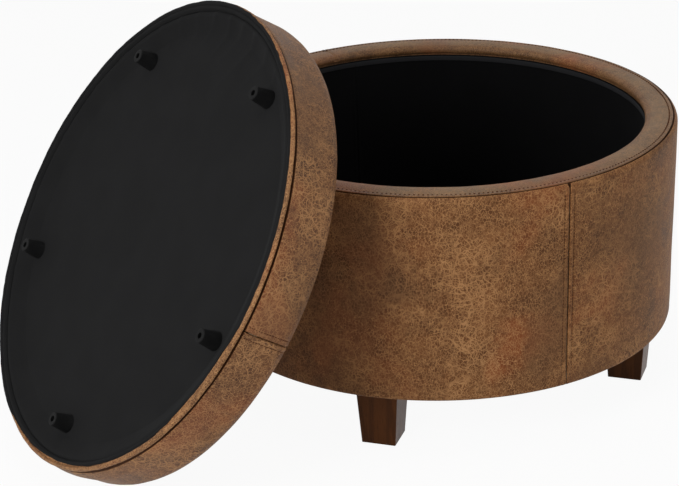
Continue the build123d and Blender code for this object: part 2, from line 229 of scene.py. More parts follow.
def make_hide():
    """Waxed split leather: a fine upright grain of pale ridges round dark pits, a sparse net of longer
    pale veins, dark and rusty clouds, and places rubbed smooth."""
    tree, given, out = effect(
        "distressed hide",
        {"Light": (0.184, 0.071, 0.023, 1), "Middle": (0.126, 0.047, 0.0146, 1),
         "Dark": (0.042, 0.0155, 0.005, 1), "Rust": (0.215, 0.064, 0.019, 1),
         "Rubbed": (0.130, 0.066, 0.030, 1), "Ridge": (0.520, 0.270, 0.112, 1),
         "Grain": 1.0, "Veins": 0.80, "Clouds": 0.78, "Smooth": 0.45, "Shift": Vector((0, 0, 0)),
         "Stretch": Vector((1.0, 1.0, 0.62))})
    coords = vectors(tree, "ADD", on_the_object(tree), given["Shift"])

    def wandering(scale, far):
        """The coordinates pushed about by a noise, so that a net's lines don't run straight."""
        push = put(tree, "TexNoise", {"Vector": coords, "Scale": scale, "Detail": 2.0}).outputs["Color"]
        push = vectors(tree, "SUBTRACT", push, (0.5, 0.5, 0.5))
        push = put(tree, "VectorMath", {0: push, "Scale": far}, operation="SCALE").outputs[0]
        return vectors(tree, "ADD", coords, push)

    def net(where, scale, width):
        cells = put(tree, "TexVoronoi", {"Vector": where, "Scale": scale}, feature="DISTANCE_TO_EDGE")
        return remap(tree, cells.outputs["Distance"], 0.0, width, 1.0, 0.0)

    def cloud(scale, detail, low, high, rough=0.55, bend=0.0):
        made = noises(tree, coords, scale, detail, Roughness=rough, Distortion=bend)
        return remap(tree, made, low, high)

    def larger(first, second):
        return sums(tree, "MAXIMUM", first, second)

    grain_at = vectors(tree, "MULTIPLY", wandering(330.0, 0.0040), given["Stretch"])
    vein_at = wandering(48.0, 0.016)
    grain, finer = net(grain_at, 310.0, 0.10), net(grain_at, 560.0, 0.13)
    smooth = times(tree, cloud(5.5, 3.0, 0.50, 0.66, 0.5, 0.4), given["Smooth"])
    rough = sums(tree, "SUBTRACT", 1.0, smooth)
    finer = times(tree, times(tree, finer, 0.7), cloud(120.0, 2.0, 0.38, 0.62))
    ridges = larger(times(tree, grain, cloud(110.0, 3.0, 0.16, 0.58)), finer)
    ridges = times(tree, times(tree, ridges, given["Grain"]), times(tree, rough, 0.9))
    veins = larger(net(vein_at, 58.0, 0.045), net(vein_at, 128.0, 0.075))
    veins = times(tree, veins, cloud(15.0, 4.0, 0.46, 0.60, 0.6))
    veins = times(tree, times(tree, veins, given["Veins"]), rough)
    lines = larger(times(tree, ridges, 0.85), veins)

    color = blended(tree, cloud(13.0, 4.0, 0.36, 0.64, 0.6), given["Middle"], given["Light"])
    color = blended(tree, cloud(6.5, 3.0, 0.50, 0.68, 0.5, 0.6), color, given["Rust"])
    color = blended(tree, smooth, color, given["Rubbed"])
    smoky = cloud(8.0, 5.0, 0.50, 0.74, 0.62, 0.5)
    spots = times(tree, cloud(40.0, 4.0, 0.52, 0.74, 0.60, 0.4), 0.45)
    dark = times(tree, larger(smoky, spots), given["Clouds"])
    color = blended(tree, dark, color, given["Dark"])
    pits = times(tree, remap(tree, grain, 0.0, 0.6, 0.30, 0.0), rough)
    color = blended(tree, times(tree, pits, cloud(34.0, 3.0, 0.42, 0.64, 0.6)), color, given["Dark"])
    over_dark = remap(tree, dark, 0.0, 0.9, 1.0, 0.5)
    color = blended(tree, times(tree, lines, over_dark), color, given["Ridge"])

    sheen = sums(tree, "ADD", remap(tree, dark, 0.0, 1.0, 0.56, 0.46), times(tree, lines, 0.10))
    fine = times(tree, cloud(1500.0, 2.0, 0.3, 0.7), 0.15)
    put_out(tree, out, color, sheen, sums(tree, "ADD", times(tree, lines, 0.8), fine))
    return tree


hide = make_hide()
SKIN = (0.45, 0.0006)  # strength and depth of the hide's bumps, m


def leather_with(name, shine, **values):
    return finish_with(name, hide, values, SKIN, shine)


LID_TONES = {"Stretch": Vector((0.8, 1, 0.8)), "Light": (0.138, 0.052, 0.0165, 1),
             "Middle": (0.092, 0.033, 0.0102, 1)}
EVEN = Vector((1, 1, 1))
leather = leather_with("distressed_leather", 0.14, Shift=Vector((0.21, 0.4, 0.0)))
leather_second = leather_with("distressed_leather_second_panel", 0.14, Shift=Vector((3.1, 1.7, 0.9)))
# the rim leather's paler, greyer tones are a painted sheen of light on the rim's flat top
leather_rim = leather_with("distressed_leather_rim", 0.30, Shift=Vector((7.3, 2.2, 5.1)), Clouds=0.5,
                           Grain=0.6, Veins=0.3, Stretch=EVEN, Light=(0.165, 0.098, 0.048, 1),
                           Middle=(0.118, 0.066, 0.030, 1))
# a darker copy of the hide for faces down in seams and grooves: painted seam shade
seam_shade_leather = leather_with("leather_down_in_a_seam", 0.05, Grain=0.5, Veins=0.0,
                              Light=(0.050, 0.017, 0.0055, 1), Middle=(0.034, 0.0115, 0.0038, 1),
                              Dark=(0.016, 0.006, 0.0022, 1), Rust=(0.050, 0.016, 0.005, 1),
                              Rubbed=(0.040, 0.015, 0.005, 1), Ridge=(0.090, 0.036, 0.013, 1))
leather_lid = leather_with("distressed_leather_lid", 0.26, Shift=Vector((1.9, 4.4, 8.2)), **LID_TONES)
leather_lid_second = leather_with("distressed_leather_lid_second", 0.26, Shift=Vector((5.9, 9.4, 2.2)),
                                  **LID_TONES)
leather_roll = leather_with("distressed_leather_roll", 0.25, Shift=Vector((2.9, 6.4, 1.2)), Smooth=0.1,
                            Light=(0.215, 0.093, 0.034, 1), Middle=(0.120, 0.048, 0.016, 1), Clouds=1.0,
                            Grain=1.4, Stretch=EVEN)

# ---- black cloth, woods, rubber, steel


def make_felted_cloth():
    """Thin pressed-fibre cloth, as on the underside of seats: fibres, small bond dots, faint clouds."""
    tree, given, out = effect("pressed fibre cloth", {"Tint": (0.0135, 0.0135, 0.0138, 1), "Dots": 0.5})
    coords = on_the_object(tree)
    fibre = noises(tree, coords, 900.0, 3.0, Distortion=1.4)
    clouds = noises(tree, coords, 22.0, 4.0)
    dots = put(tree, "TexVoronoi", {"Vector": coords, "Scale": 620.0, "Randomness": 0.15})
    bonded = remap(tree, dots.outputs["Distance"], 0.18, 0.34, 1.0, 0.0)
    tone = sums(tree, "ADD", remap(tree, clouds, 0.3, 0.7, 0.94, 1.06),
                remap(tree, fibre, 0.3, 0.7, -0.10, 0.14))
    grey = put(tree, "CombineColor", {0: tone, 1: tone, 2: tone}).outputs[0]
    height = sums(tree, "SUBTRACT", remap(tree, fibre, 0.25, 0.75), times(tree, bonded, given["Dots"]))
    color = blended(tree, 1.0, given["Tint"], grey, "MULTIPLY")
    put_out(tree, out, color, remap(tree, fibre, 0.3, 0.7, 0.78, 0.92), height)
    return tree


def make_timber():
    """Wood with long grain along one axis: early and late bands, pores, slight clouds."""
    tree, given, out = effect("timber", {"Tint": (0.5, 0.36, 0.22, 1), "Grain": (0.3, 0.2, 0.11, 1),
                                         "Stretch": Vector((60, 60, 4)), "Rings": 0.6, "Sheen": 0.5})
    coords = on_the_object(tree)
    along = vectors(tree, "MULTIPLY", coords, given["Stretch"])
    bands = noises(tree, along, 1.0, 5.0, Distortion=0.6)
    pore = remap(tree, noises(tree, along, 9.0, 3.0), 0.56, 0.70)
    clouds = noises(tree, coords, 14.0, 2.0)
    late = times(tree, remap(tree, bands, 0.42, 0.60), given["Rings"])
    color = blended(tree, late, given["Tint"], given["Grain"])
    color = blended(tree, times(tree, pore, 0.35), color, given["Grain"], "MULTIPLY")
    color = blended(tree, remap(tree, clouds, 0.3, 0.7, 0.0, 0.25), color, given["Grain"])
    sheen = sums(tree, "ADD", given["Sheen"], times(tree, pore, 0.15))
    put_out(tree, out, color, sheen, times(tree, sums(tree, "ADD", late, pore), -0.5))
    return tree


def make_cast():
    """A plain mass with a fine orange-peel skin and handling marks, for rubber, foam and plated steel."""
    tree, given, out = effect("cast skin", {"Tint": (0.02, 0.02, 0.02, 1), "Marks": (0.04, 0.04, 0.04, 1),
                                            "Size": 400.0, "Base": 0.45, "Range": 0.15})
    coords = on_the_object(tree)
    skin = noises(tree, coords, given["Size"], 3.0)
    marks = noises(tree, coords, 70.0, 4.0)
    color = blended(tree, remap(tree, marks, 0.45, 0.75), given["Tint"], given["Marks"])
    put_out(tree, out, color, sums(tree, "ADD", given["Base"], times(tree, marks, given["Range"])), skin)
    return tree


felted, timber, cast = make_felted_cloth(), make_timber(), make_cast()
black_cloth = finish_with("black_cloth", felted, {}, (0.35, 0.0003), 0.06)
# the lining's tint, darker than the black cloth's, is partly the cloth's own black and partly painted shade
# for the inside of the drum
lining_cloth = finish_with("black_lining_cloth", felted, {"Tint": (0.0052, 0.0052, 0.0055, 1)},
                           (0.35, 0.0003), 0.04)
hem_cloth = finish_with("hem_cloth", felted, {"Tint": (0.020, 0.020, 0.0215, 1)}, (0.4, 0.0003), 0.10)
plywood = finish_with("plywood", timber, {"Tint": (0.6, 0.45, 0.29, 1), "Grain": (0.42, 0.28, 0.16, 1),
                                          "Stretch": Vector((6, 80, 80))}, (0.2, 0.0004))
dark_wood = finish_with("dark_wood", timber, {"Tint": (0.108, 0.037, 0.0100, 1), "Sheen": 0.34,
                                              "Grain": (0.050, 0.017, 0.0052, 1),
                                              "Stretch": Vector((110, 110, 7))},
                        (0.15, 0.0004), 0.07)


def cast_with(name, tint, marks, size, base, *look):
    values = {"Tint": (*tint, 1), "Marks": (*marks, 1), "Size": size, "Base": base}
    return finish_with(name, cast, values, *look)


hardboard = cast_with("hardboard", (0.31, 0.2, 0.12), (0.24, 0.15, 0.09), 260.0, 0.7, (0.3, 0.0004))
steel = cast_with("zinc_steel", (0.62, 0.62, 0.6), (0.42, 0.42, 0.4), 700.0, 0.3, (0.1, 0.0002), 0.5, 1.0)
rubber = cast_with("guide_rubber", (0.0052, 0.0052, 0.0053), (0.0085, 0.0085, 0.0085), 520.0, 0.5,
                   (0.12, 0.0003), 0.08)
wadding = cast_with("wadding", (0.78, 0.76, 0.7), (0.7, 0.68, 0.62), 340.0, 0.8, (0.5, 0.0008))
thread = cast_with("brown_thread", (0.062, 0.016, 0.006), (0.040, 0.010, 0.004), 2200.0, 0.7,
                   (0.5, 0.0002), 0.05)

# ---- modelling helpers

mm = 0.001


def clear():
    bpy.ops.object.select_all(action="DESELECT")


def pick(piece):
    clear()
    piece.select_set(True)
    bpy.context.view_layer.objects.active = piece


def bell(away, width):
    """1 in the middle, close to nothing at twice the width away."""
    return math.exp(-((away / width) ** 2))


def part_of(value, low, high):
    """How far value has come on its way from low to high, no less than 0 and no more than 1."""
    return min(max((value - low) / (high - low), 0), 1)


def polar(radius, turn, level):
    a = math.radians(turn)
    return Vector((radius * math.cos(a), radius * math.sin(a), level))


def radius_of(co):
    return math.hypot(co.x, co.y)


def turn_of(co):
    """Where a point is round the upright axis, in degrees."""
    return math.degrees(math.atan2(co.y, co.x))


def outward(co):
    return Vector((co.x, co.y, 0)).normalized()


def apart(turn, other):
    """Degrees between two directions, the shorter way round."""
    return abs((turn - other + 180) % 360 - 180)


def length_of(line):
    return sum(math.hypot(b[0] - a[0], b[1] - a[1]) for a, b in zip(line, line[1:]))


def arc(radius, level, size, start, end, steps):
    """Points (radius, level) round a centre, from angle start to end in degrees."""
    angles = [math.radians(start + (end - start) * step / steps) for step in range(steps + 1)]
    return [(radius + size * math.cos(angle), level + size * math.sin(angle)) for angle in angles]


def even(points, spacing):
    """The same line with points no further apart than spacing."""
    out = [points[0]]
    for (r0, z0), (r1, z1) in zip(points, points[1:]):
        count = max(1, math.ceil(math.hypot(r1 - r0, z1 - z0) / spacing))
        out += [(r0 + (r1 - r0) * k / count, z0 + (z1 - z0) * k / count) for k in range(1, count + 1)]
    return out


def spun(name, profile, steps=256, start=0.0, sweep=360.0, shut=False):
    """A line of vertices drawn out in the upright plane, then spun round the upright axis."""
    clear()
    r, z = profile[0]
    bpy.ops.mesh.primitive_plane_add(size=0.001, location=(r, 0, z))
    piece = bpy.context.object
    piece.name = piece.data.name = name
    bpy.ops.object.transform_apply(location=True)
    bpy.ops.object.mode_set(mode="EDIT")
    bpy.ops.mesh.select_all(action="SELECT")
    bpy.ops.mesh.merge(type="CENTER")
    for next_r, next_z in profile[1:] + ([profile[0]] if shut else []):
        bpy.ops.mesh.extrude_region_move(TRANSFORM_OT_translate={"value": (next_r - r, 0, next_z - z)})
        r, z = next_r, next_z
    bpy.ops.mesh.select_all(action="SELECT")
    bpy.ops.mesh.spin(steps=steps, angle=math.radians(sweep), center=(0, 0, 0), axis=(0, 0, 1))
    bpy.ops.mesh.select_all(action="SELECT")
    bpy.ops.mesh.remove_doubles(threshold=0.000002)
    bpy.ops.mesh.normals_make_consistent(inside=False)
    bpy.ops.object.mode_set(mode="OBJECT")
    if start:
        piece.data.transform(Matrix.Rotation(math.radians(start), 4, "Z"))
    return piece


def crowd(piece, start, sweep):
    """Draws a spun piece's columns together towards its two ends, where a seam needs a narrow crease."""
    share = 0.9
    for vertex in piece.data.vertices:
        turn = (turn_of(vertex.co) - start + 5) % 360 - 5
        by = -share * math.sin(2 * math.pi * turn / sweep) / (2 * math.pi) * sweep
        vertex.co.rotate(Matrix.Rotation(math.radians(by), 3, "Z"))
    piece.data.update()


LEATHER_THICK, CLOTH_THICK = 1.1 * mm, 0.4 * mm
ROW_AWAY = 6.8 * mm  # from an upright seam to the row of stitches beside it


def crease(along):
    """How far the leather stands out beside a seam: turned in at it, full beyond, then a stitched channel."""
    return (-2.4 * mm * bell(along, 0.8 * mm) + 0.4 * mm * bell(along - 3.4 * mm, 2.0 * mm)
            - 0.6 * mm * bell(along - ROW_AWAY, 0.9 * mm))


def apply(piece, kind, **settings):
    """Adds one modifier and applies it."""
    pick(piece)
    made = piece.modifiers.new(kind.lower(), kind)
    for key, value in settings.items():
        setattr(made, key, value)
    bpy.ops.object.modifier_apply(modifier=made.name)


def move_points(piece, rule):
    """Pushes each vertex by what rule(co, normal) returns, as with a brush."""
    piece.data.update()
    moves = [rule(vertex.co.copy(), vertex.normal.copy()) for vertex in piece.data.vertices]
    for vertex, by in zip(piece.data.vertices, moves):
        vertex.co += by
    piece.data.update()


def mark(piece, rule):
    """Notes the faces that take a piece's other finish: the darker leather down in seams and grooves, a
    painted seam shade.
    """
    for face in piece.data.polygons:
        if rule(face.center):
            face.material_index = 1


def settle(piece, body, finish, stands_for=(), sharp=60, others=()):
    """Puts a piece made about its own axis in its place and gives it its finish and its body."""
    marks = [face.material_index for face in piece.data.polygons]
    piece.data.transform(LID if body == "lid" else DRUM)
    piece.data.materials.clear()
    for each in (finish, *others):
        piece.data.materials.append(each)
    if others:
        piece.data.polygons.foreach_set("material_index", marks)
    pick(piece)
    bpy.ops.object.shade_smooth_by_angle(angle=math.radians(sharp))
    clear()
    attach(piece, body)
    if stands_for:
        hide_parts(*stands_for)


def waver(co, scale, height, seed=0.0):
    """A slow, even unevenness."""
    return height * noise.noise(co * scale + Vector((seed, seed * 0.7, seed * 1.3)))


def inflate(piece, held, cap):
    """Fills a closed pad with air as cloth; held(co) says which points stay. Moves stop at cap."""
    before = [vertex.co.copy() for vertex in piece.data.vertices]
    frames = 20
    group = piece.vertex_groups.new(name="held")
    group.add([v.index for v in piece.data.vertices if held(v.co)], 1.0, "ADD")
    pick(piece)
    cloth = piece.modifiers.new("cloth", "CLOTH")
    rules = cloth.settings
    rules.quality = 5
    rules.mass = 0.3
    rules.use_pressure = True
    rules.uniform_pressure_force = 4.0
    rules.vertex_group_mass = "held"
    rules.effector_weights.gravity = 0
    rules.tension_stiffness = rules.compression_stiffness = 12
    cloth.point_cache.frame_start, cloth.point_cache.frame_end = 1, frames
    for step in range(1, frames + 1):
        scene.frame_set(step)
    bpy.ops.object.modifier_apply(modifier=cloth.name)
    scene.frame_set(1)
    for vertex, old in zip(piece.data.vertices, before):
        by = vertex.co - old
        if by.length > cap:
            vertex.co = old + by.normalized() * cap
    piece.vertex_groups.clear()
    piece.data.update()


# ---- lid: cushion, bands, roll, lip, underside

SEAM_1, SEAM_2 = 2.5, 182.5  # where the two band lengths are sewn, degrees round the lid


def slump(co):
    """The lid stands on its edge, so its padded side has sunk a little down the slope."""
    return Vector((0, -(1.3 + 1.4 * part_of(co.z, 0, 20 * mm)) * mm, 0))


def onto_floor(piece):
    """Presses flat whatever of the lid's side would dip into the floor."""
    lowest = 0.5 * mm
    inverse = LID.inverted()
    for vertex in piece.data.vertices:
        spot = LID @ vertex.co
        if spot.z < lowest:
            spot.z = lowest
            vertex.co = inverse @ spot


# the side of the lid seen in section: radius and level, from the roll's seam up and over the shoulder
seam_z = band_low - 3.6 * mm
side_out = band_out + 0.4 * mm
shoulder = 20 * mm
shoulder_r, shoulder_z = side_out - shoulder, band_high - 6 * mm
SIDE = ([(band_out - 3.4 * mm, seam_z + 0.6 * mm), (band_out - 1.8 * mm, seam_z + 1.6 * mm),
         (band_out - 0.3 * mm, seam_z + 3.2 * mm), (side_out - 0.1 * mm, seam_z + 5.2 * mm),
         (side_out, seam_z + 14 * mm)]
        + arc(shoulder_r, shoulder_z, shoulder, 0, 34, 6))


def lid_cushion():
    """Foam pad under the leather top: flat on its board, crowned above, rounded at the shoulder."""
    over = arc(shoulder_r, shoulder_z, shoulder - 0.2 * mm, 26, 76, 8)
    last_r, last_z = over[-1]
    left = [1 - k / 14 for k in range(1, 15)]
    dome = [(last_r * share, last_z + (top_high - last_z) * (1 - share ** 2.2)) for share in left]
    profile = ([(0.0, foam_low), (board_out - 3 * mm, foam_low), (board_out - 1 * mm, foam_low + 2 * mm),
                (band_in - 2.0 * mm, foam_low + 6 * mm), (band_in - 1.6 * mm, shoulder_z - 2 * mm)]
               + over + dome)
    piece = spun("lid_cushion", profile, steps=128)
    apply(piece, "REMESH", mode="VOXEL", voxel_size=0.0055)
    inflate(piece, lambda co: co.z < foam_low + 4 * mm, cap=2.5 * mm)
    apply(piece, "SUBSURF", levels=1, render_levels=1)
    move_points(piece, lambda co, n: slump(co) + n * (waver(co, 7, 0.9 * mm) if co.z > band_high else 0.0))
    onto_floor(piece)
    settle(piece, "lid", leather_lid, ("lid_top_cover", "lid_foam"))


def lid_band(name, start, end, finish, stands_for, seed):
    """One length of the band, its two ends turned in at the seams, its edges drawn in a little."""
    profile = even(SIDE, 3.0 * mm)
    lap = math.degrees(0.5 * mm / band_out)
    piece = spun(name, profile, steps=240, start=start - lap, sweep=end - start + 2 * lap)
    crowd(piece, start - lap, end - start + 2 * lap)

    def shape(co, n):
        turn = turn_of(co) % 360
        along = math.radians(min(apart(turn, edge) for edge in (start, end))) * band_out
        level = part_of(co.z, seam_z, profile[-1][1])
        wave = waver(co, 16, 0.6 * mm, seed) * math.sin(math.pi * level) + waver(co, 46, 0.25 * mm, seed + 3)
        wave += 2.2 * mm * bell(turn - 254, 30) * bell(co.z - 20 * mm, 16 * mm)
        dip = 0.5 * mm * noise.noise(polar(1, turn, seed) * 5)
        return outward(co) * (crease(along) + wave - 0.2 * mm) + Vector((0, 0, dip * (1 - level))) + slump(co)

    # faces at the band's foot, tucked into the roll's seam, take the painted seam shade
    mark(piece, lambda co: co.z < seam_z + 3.0 * mm and radius_of(co) < band_out - 0.8 * mm)
    move_points(piece, shape)
    apply(piece, "SOLIDIFY", thickness=LEATHER_THICK, offset=-1.0)
    onto_floor(piece)
    # faces beside the two upright seams take the painted seam shade
    mark(piece, lambda co: min((co - polar(band_out, turn, co.z)).length for turn in (start, end)) < 3 * mm
         and math.hypot(co.x, co.y + 1.3 * mm) < side_out - 1.9 * mm and co.z < shoulder_z)
    settle(piece, "lid", finish, stands_for, sharp=50, others=(seam_shade_leather,))


# the rolled lower edge in section, from the inner groove over the crest to the seam under the band
GROOVE = lip_out - 1.4 * mm
ROLL = ([(GROOVE + 0.2 * mm, roll_low + 2.0 * mm), (GROOVE + 0.5 * mm, roll_low + 0.2 * mm)]
        + arc(GROOVE + 4.0 * mm, roll_low + 0.6 * mm, 3.4 * mm, 190, 262, 4)
        + [(GROOVE + 5.2 * mm, roll_low - 2.1 * mm), (GROOVE + 6.0 * mm, roll_low - 1.5 * mm),
           (GROOVE + 6.9 * mm, roll_low - 2.3 * mm)]
        + arc(band_out - 2.5 * mm, roll_low - 0.2 * mm, 3.5 * mm, 262, 366, 9)
        + [(band_out - 0.2 * mm, roll_low + 1.0 * mm), (band_out - 2.4 * mm, seam_z + 0.1 * mm),
           (band_out - 3.2 * mm, seam_z + 0.6 * mm)])


def ripple(co):
    """How far the rolled edge stands out or in, along its way round."""
    return (waver(co, 60, 0.35 * mm, 4.0) + waver(co, 140, 0.25 * mm, 9.0) + waver(co, 14, 0.5 * mm, 2.0)
            - 0.05 * mm)


def shifted(co):
    """Where the rolled edge has been drawn in, and has sunk with the rest of the lid's cover."""
    drawn = 2.0 * mm * bell(turn_of(co) % 360 - 232, 16)
    return slump(co) - outward(co) * drawn


def lid_roll():
    """Leather rolled over the lower edge of the lid, with a sewn groove against the band."""
    piece = spun("lid_edge_roll_cover", even(ROLL, 1.4 * mm), steps=480)
    # faces against the band's seam and down in the groove take the painted seam shade
    mark(piece, lambda co: co.z > roll_low + 0.9 * mm and radius_of(co) > band_out - 4 * mm)
    mark(piece, lambda co: radius_of(co) < GROOVE + 0.7 * mm)
    move_points(piece, lambda co, n: n * ripple(co) + shifted(co))
    apply(piece, "SOLIDIFY", thickness=0.8 * mm, offset=-1.0, use_even_offset=True)
    settle(piece, "lid", leather_roll, ("lid_edge_roll",), others=(seam_shade_leather,))


# soft folds in the cloth: angle round the lid and lean in degrees, the rest in mm
# (angle, radius at the outer end, length, lean, width, height)
FOLDS = [(100, 274, 110, 22, 6.5, 2.2), (93, 276, 90, 30, 5.0, 1.9), (86, 276, 96, 26, 5.0, 2.0),
         (78, 276, 74, 34, 4.5, 1.7), (70, 276, 60, 24, 4.5, 1.4), (108, 274, 84, 14, 6.0, 1.8),
         (62, 276, 50, 12, 4.5, 1.2), (116, 274, 66, 8, 6.0, 1.4), (54, 276, 40, -6, 4.0, 0.9),
         (38, 276, 38, 12, 5.0, 0.6), (24, 276, 44, 18, 5.0, 0.6), (128, 274, 34, 6, 6.0, 0.6),
         (150, 274, 36, -12, 6.5, 0.5), (205, 275, 40, 10, 5.5, 0.5), (236, 275, 34, -14, 5.5, 0.5),
         (262, 275, 38, 8, 5.0, 0.5),
         (300, 275, 34, -6, 4.5, 0.6), (330, 275, 42, 14, 5.5, 0.6), (352, 275, 46, -10, 5.5, 0.6),
         (8, 275, 34, 4, 5.0, 0.6), (316, 275, 30, 20, 4.5, 0.5), (286, 275, 30, 16, 4.5, 0.5)]


def roll_at(share):
    """Point and outward direction on the rolled edge, share of the way from its groove to its outer side."""
    line = ROLL[:-3]
    left = share * length_of(line)
    for (r0, z0), (r1, z1) in zip(line, line[1:]):
        length = math.hypot(r1 - r0, z1 - z0)
        if left <= length or (r1, z1) == line[-1]:
            part = min(left / length, 1)
            return r0 + (r1 - r0) * part, z0 + (z1 - z0) * part, (z1 - z0) / length, -(r1 - r0) / length
        left -= length


# how far the cloth reaches over the roll: angle round the lid, share of the way from groove to outer side
REACH = [(0, 1.0), (60, 1.0), (68, 0.92), (80, 0.85), (95, 0.79), (120, 0.72), (136, 0.67), (146, 0.57),
         (154, 0.48), (172, 0.54), (184, 0.44), (193, 0.24), (202, 0.22), (210, 0.36), (218, 0.46),
         (232, 0.50), (240, 0.48), (256, 0.38), (264, 0.37), (272, 0.52), (282, 0.62), (290, 0.80),
         (300, 1.0),
         (360, 1.0)]


def reach_at(turn):
    for (turn0, share0), (turn1, share1) in zip(REACH, REACH[1:]):
        if turn <= turn1:
            return share0 + (share1 - share0) * (turn - turn0) / (turn1 - turn0)


def lid_underside_cloth():
    """One cut of black cloth: tight over the board, up a soft slope to the edge ring, down in the groove
    and over the rolled edge. It was cut a little off centre, so it covers the roll on one side only."""
    slope_low, slope_high = 256.5 * mm, GROOVE - 7.2 * mm
    tail = 20 * mm
    profile = even([(0.0, 0.0), (slope_low - 6 * mm, 0.0)], 4.2 * mm)[:-1] + even(
        [(slope_low - 6 * mm, 0.0), (GROOVE + tail, 0.0)], 1.15 * mm)
    piece = spun("lid_underside_cloth", profile, steps=480)
    lines = [(polar(radius * mm, turn, 0), polar(1, turn + 180 + lean, 0), length * mm, width * mm,
              height * mm) for turn, radius, length, lean, width, height in FOLDS]

    def over_roll(out, radius, turn, pucker):
        """Where a point beyond the groove comes to lie, a little off the rolled edge."""
        cover = reach_at(turn % 360) + 0.05 * noise.noise(out * 22)
        share = (radius - GROOVE) / tail * min(max(cover, 0.03), 1.0)
        r, z, nr, nz = roll_at(share)
        under = out * r + Vector((0, 0, z))
        lift = 0.50 * mm + 0.22 * mm * pucker * math.sin(math.pi * min(share * 1.4, 1)) + (
            0.16 * mm * math.sin(share * 26 + 2 * noise.noise(out * 7)))
        return under + (out * nr + Vector((0, 0, nz))) * (ripple(under) + lift) + shifted(under)

    def shape(co, n):
        radius = radius_of(co)
        out = polar(1, turn_of(co), 0)
        pucker = noise.noise(out * 42 + 3 * UP) + 0.5 * noise.noise(out * 110 + 8 * UP)
        if radius > GROOVE:
            return over_roll(out, radius, turn_of(co), pucker) - out * radius
        soft = 0.25 * mm + waver(co, 9, 0.30 * mm, 2.0) + waver(co, 34, 0.12 * mm, 6.0)
        for outer, way, length, width, height in lines:
            rel = Vector((co.x, co.y, 0)) - outer
            along = rel.dot(way) / length
            if -0.15 < along < 1.0:
                side = rel.cross(way).z / (width * (1.0 - 0.55 * max(along, 0)))
                soft += height * bell(side, 1) * (1 - max(along, 0)) ** 1.3
        step = part_of(radius, slope_low, slope_high)
        rim = part_of(radius, slope_high, GROOVE)
        flat_z = under_high - 0.5 * mm
        level = flat_z + (roll_low + 1.5 * mm - flat_z) * step ** 1.15 - 0.7 * mm * math.sin(math.pi * rim)
        level += (1.3 * mm) * max(rim - 0.72, 0) / 0.28 - 0.5 * mm * step
        return Vector((0, 0, level - max(soft, 0.0) - 0.25 * mm * pucker * step)) + slump(co) * step * step

    move_points(piece, shape)
    apply(piece, "SOLIDIFY", thickness=CLOTH_THICK, offset=0.0)
    settle(piece, "lid", black_cloth, ("lid_underside", "lid_lip"))


# ---- stitching


def one_stitch(length, thickness):
    """A stitch lying along X: thickest in the middle, its two ends dipping into the leather."""
    clear()
    bpy.ops.mesh.primitive_uv_sphere_add(segments=6, ring_count=5, radius=0.5, location=(0, 0, 0))
    piece = bpy.context.object
    bpy.ops.object.mode_set(mode="EDIT")
    bpy.ops.mesh.select_all(action="SELECT")
    bpy.ops.transform.rotate(value=math.pi / 2, orient_axis="Y", center_override=(0, 0, 0))
    bpy.ops.transform.resize(value=(length, thickness, thickness * 0.9), center_override=(0, 0, 0))
    bpy.ops.object.mode_set(mode="OBJECT")
    for vertex in piece.data.vertices:
        vertex.co.z -= 0.9 * thickness * (2 * vertex.co.x / length) ** 2
    return piece


def stitch_row(name, spots, body, length=3.3 * mm, thickness=0.85 * mm):
    """Copies one stitch to each spot (place, way along, way out) and joins them into a row."""
    first = one_stitch(length, thickness)
    copies = []
    for spot, along, out in spots:
        along = along.normalized()
        side = out.cross(along).normalized()
        out = along.cross(side)
        made = bpy.data.objects.new(name, first.data.copy())
        made.matrix_world = Matrix.Translation(spot) @ turned(along, side, out)
        scene.collection.objects.link(made)
        copies.append(made)
    bpy.data.objects.remove(first)
    clear()
    for made in copies:
        made.select_set(True)
    bpy.context.view_layer.objects.active = copies[0]
    bpy.ops.object.join()
    piece = copies[0]
    bpy.ops.object.transform_apply()
    piece.name = piece.data.name = name
    settle(piece, body, thread, sharp=80)


def beside_seams(name, seams, radius, spots_at, body):
    """A row of stitches on each side of each upright seam; spots_at(turn) gives one row's spots."""
    for number, seam in enumerate(seams):
        for side, word in ((-1, "left"), (1, "right")):
            turn = seam + side * math.degrees(ROW_AWAY / radius)
            stitch_row("%s_%d_%s" % (name, number + 1, word), spots_at(turn), body)


def lid_spots(turn):
    """Stitches up the lid's side and over its shoulder."""
    line = even(SIDE[3:], 4.3 * mm)[:-1]
    spots = []
    for (r0, z0), (r1, z1) in zip(line, line[1:]):
        spot = polar((r0 + r1) / 2 - 0.55 * mm, turn, (z0 + z1) / 2)
        way = polar(r1, turn, z1) - polar(r0, turn, z0)
        spots.append((spot + slump(spot), way, polar(1, turn, 0)))
    return spots


lid_cushion()
lid_band("lid_band_front", SEAM_1 - 180, SEAM_1, leather_lid_second, ("lid_band_first",), 1.0)
lid_band("lid_band_back", SEAM_1, SEAM_2, leather_lid, ("lid_band_second",), 5.0)
lid_roll()
lid_underside_cloth()
beside_seams("lid_band_stitches", (SEAM_1, SEAM_2), band_out, lid_spots, "lid")

# ---- drum: wall leather, rim, lining

ROUND = 8.5 * mm  # the padded rim's outer rounding
RIM_SEAM = 90.6  # where the rim leather's two ends are sewn, degrees round
SEAM_AT = 65.0  # where it meets the wall leather, degrees up the rounding
WALL_SEAM = 90.0  # where the wall's two panels are sewn, and opposite
TAPER = 3 * mm  # how much narrower the wall is at its foot, each side
round_r = (wall_out if rim_out < wall_out - 2 * mm else rim_out) - ROUND
round_z = rim_top - ROUND


def round_at(turn, less):
    """The point this far under the rounding's surface, at this angle above the level."""
    return arc(round_r, round_z, ROUND - less, turn, turn, 1)[0]


def under_round(co):
    """How far a point is from the middle of the rim's outer rounding."""
    return math.hypot(radius_of(co) - round_r, co.z - round_z)


def wall_at(level):
    """How far in the wall leans at this level."""
    return TAPER * (round_z - level) / (round_z - wall_low)


